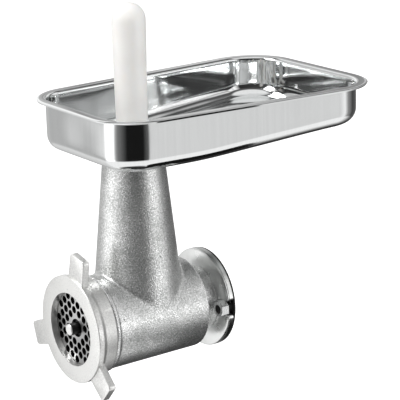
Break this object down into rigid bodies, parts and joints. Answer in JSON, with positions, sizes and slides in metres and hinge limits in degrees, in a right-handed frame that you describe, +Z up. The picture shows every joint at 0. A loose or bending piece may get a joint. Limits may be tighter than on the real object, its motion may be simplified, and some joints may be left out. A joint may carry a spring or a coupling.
{
  "type": "meat mincer head",
  "caption": "Meat mincer head for a drive hub: cast barrel with feed neck, steel tray, pusher, feed screw, knife, perforated plate and lugged ring nut.",
  "frame": {"origin": "on the drive axis, in the plane of the hub face (the rear face of the adapter plate)", "axes": "+Y along the drive axis towards the hub, +Z up along the feed neck, +X to the right seen from the ring nut"},
  "size_m": [0.1906, 0.2776, 0.3238],
  "materials": {
    "cast_body": "tumbled, tin-bright casting",
    "turned_flange": "turned, polished rim",
    "black_plate": "blackened",
    "steel_fastener": "zinc plated",
    "bronze": "plain bearing",
    "seal_rubber": "matt",
    "white_nylon": "matt",
    "ground_steel": "ground",
    "plate_steel": "ground face",
    "cast_ring": "fine blasted casting",
    "tray_steel": "polished, drawn",
    "white_plastic": "satin"
  },
  "bodies": {
    "body": {"housing": "cast_body", "rear_flange": "turned_flange", "adapter_plate": "black_plate", "clamp_studs": "steel_fastener", "clamp_nuts": "steel_fastener", "flange_grub_screw": "black_plate", "rear_bush": "bronze", "shaft_seal": "seal_rubber", "thrust_washer": "white_nylon", "plate_key": "steel_fastener"},
    "screw": {"feed_screw": "cast_body", "drive_shank": "ground_steel", "shank_pin": "ground_steel", "knife_spindle": "ground_steel", "knife": "ground_steel"},
    "plate": {"hole_plate": "plate_steel"},
    "ring": {"ring_nut": "cast_ring"},
    "pusher": {"pusher": "white_plastic"},
    "tray": {"tray": "tray_steel", "tray_collar": "tray_steel"}
  },
  "joints": [
    {"name": "screw_spin", "type": "hinge", "parent": "body", "child": "screw", "pos_m": [0, 0, 0], "axis": [0, 1, 0], "continuous": true},
    {"name": "plate_slide", "type": "slide", "parent": "body", "child": "plate", "axis": [0, -1, 0], "range_m": [0, 0.011]},
    {"name": "ring_turn", "type": "hinge", "parent": "plate", "child": "ring", "pos_m": [0, -0.13, 0], "axis": [0, -1, 0], "range_deg": [0, 990]},
    {"name": "pusher_slide", "type": "slide", "parent": "body", "child": "pusher", "axis": [0, 0, 1], "range_m": [0, 0.12]},
    {"name": "tray_lift", "type": "slide", "parent": "body", "child": "tray", "axis": [0, 0, 1], "range_m": [0, 0.03]}
  ],
  "couplings": [
    {"joint": "plate_slide", "follows": "ring_turn", "m_per_rad": 0.00063662}
  ]
}
